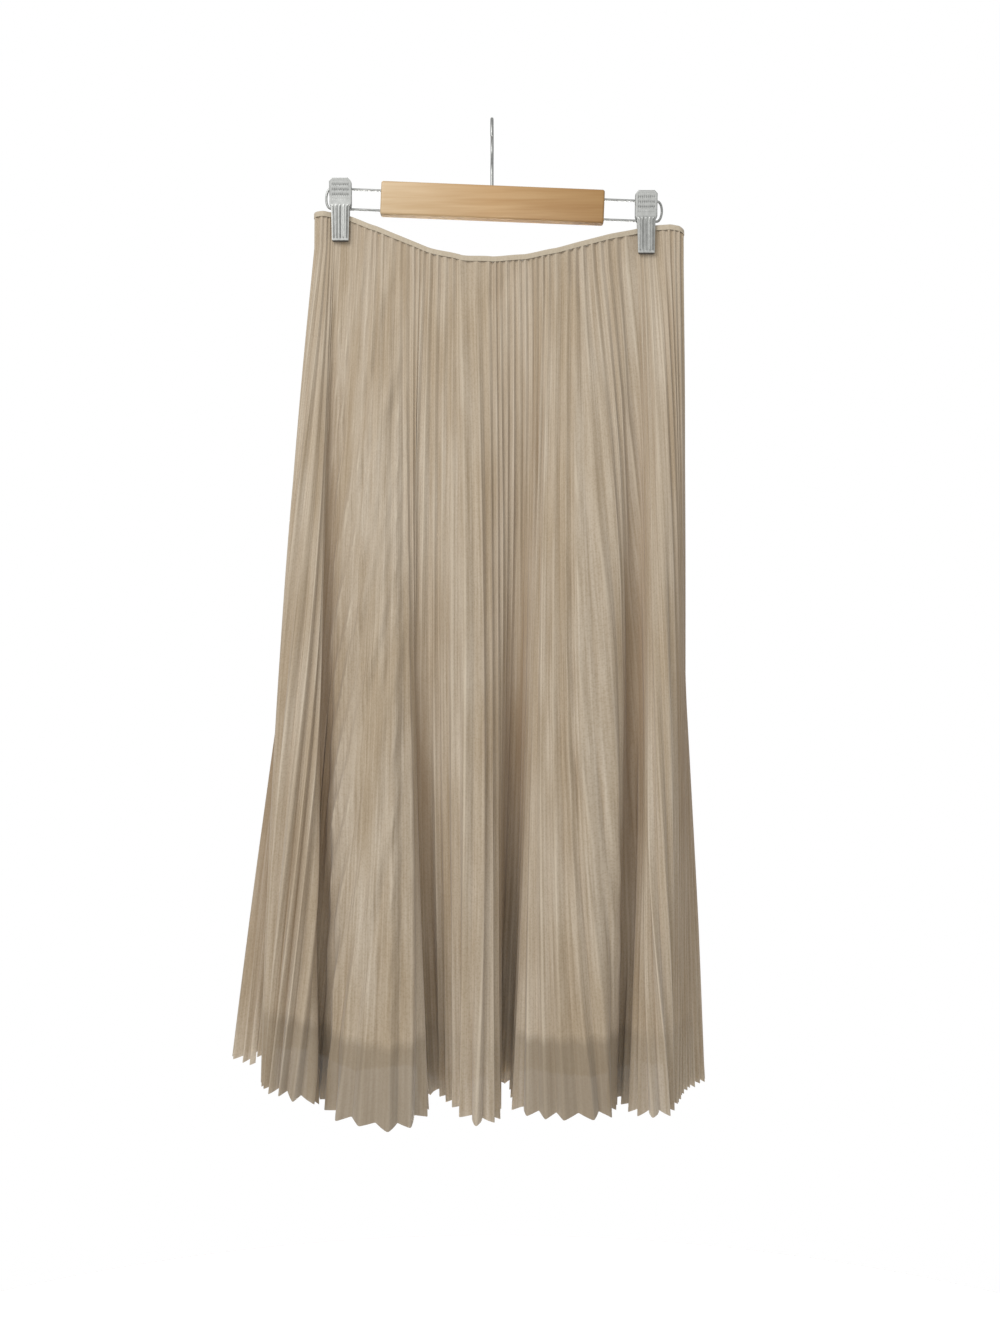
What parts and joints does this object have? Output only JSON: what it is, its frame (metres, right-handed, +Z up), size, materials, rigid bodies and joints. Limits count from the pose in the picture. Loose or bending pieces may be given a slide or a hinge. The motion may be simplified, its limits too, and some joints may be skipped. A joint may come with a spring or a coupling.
{
  "type": "pleated tulle skirt on a wooden clip hanger",
  "caption": "Long beige skirt of finely pleated tulle over a plain lining, with a narrow bound waist, hanging in deep folds from a wooden clip hanger with steel clips",
  "frame": {"origin": "inside top of the hanger's hook, where a clothes rod carries it", "axes": "+Z up, -Y out of the skirt's front, +X to the right as the front is seen"},
  "size_m": [0.4679, 0.2349, 0.9364],
  "materials": {
    "tulle": "fine polyester tulle, beige, pressed in narrow pleats, a little see-through",
    "lining": "plain woven polyester lining, beige, matt",
    "binding": "narrow bound tape edge, light grey-beige",
    "wood": "light wood under a satin lacquer",
    "steel": "nickel-plated steel wire and pressed sheet",
    "pad": "dark soft plastic grip pad"
  },
  "bodies": {
    "root": {"tulle_front": "tulle", "tulle_back": "tulle", "lining_front": "lining", "lining_back": "lining", "waist_binding": "binding", "hanger_bar": "wood", "hanger_hook": "steel", "hanger_rail_left": "steel", "hanger_rail_right": "steel", "clip_left_front": "steel", "clip_left_back": "steel", "clip_left_spring": "steel", "clip_left_pad_front": "pad", "clip_left_pad_back": "pad", "clip_right_front": "steel", "clip_right_back": "steel", "clip_right_spring": "steel", "clip_right_pad_front": "pad", "clip_right_pad_back": "pad"}
  },
  "joints": []
}
